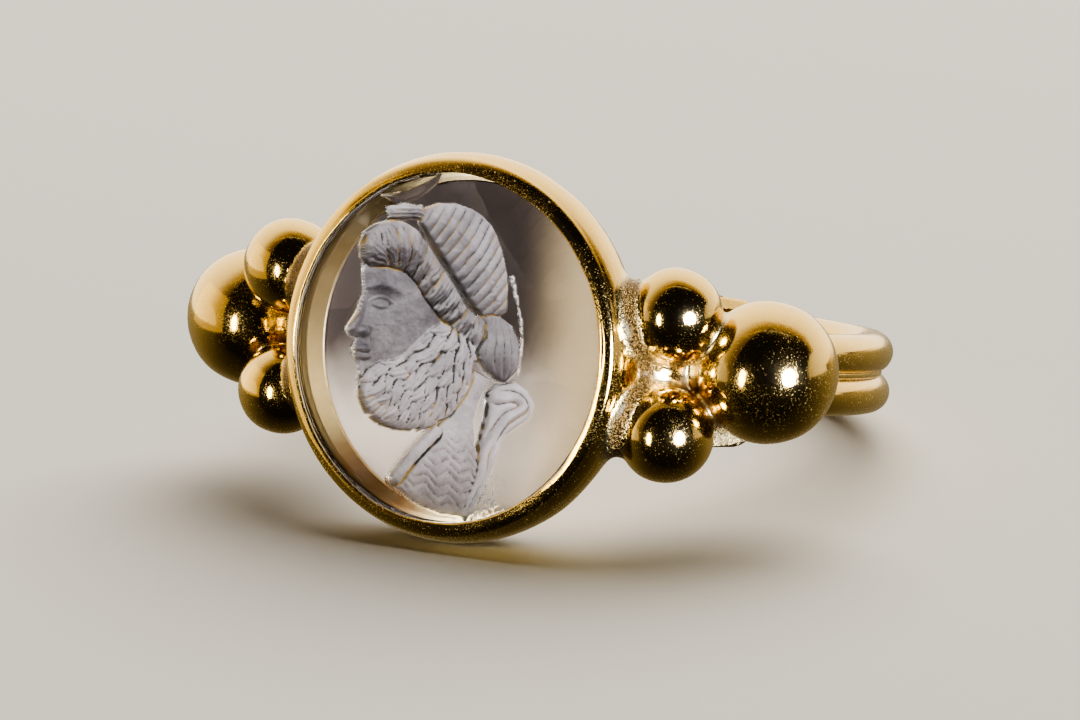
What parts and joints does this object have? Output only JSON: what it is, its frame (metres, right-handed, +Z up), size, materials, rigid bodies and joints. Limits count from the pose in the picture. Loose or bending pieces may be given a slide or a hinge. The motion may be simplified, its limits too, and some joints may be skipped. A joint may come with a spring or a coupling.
{
  "type": "intaglio ring",
  "caption": "Gold finger ring with a twin-wire hoop, ball shoulders and a round cup that holds a rock-crystal intaglio of a bearded head.",
  "frame": {"origin": "middle of the ring's outline on the surface that it lies on", "axes": "the ring lies on its side: the head faces -Y and tips up a little, +X is to the right as one looks at the stone, +Z is up"},
  "size_m": [0.0262, 0.0238, 0.0136],
  "materials": {
    "polished_gold": "polished, finely scratched",
    "rock_crystal": "polished front, frosted engraving",
    "foil": "silvery reflecting foil"
  },
  "bodies": {
    "root": {"gold_ring": "polished_gold", "crystal_intaglio": "rock_crystal", "backing_foil": "foil"}
  },
  "joints": []
}
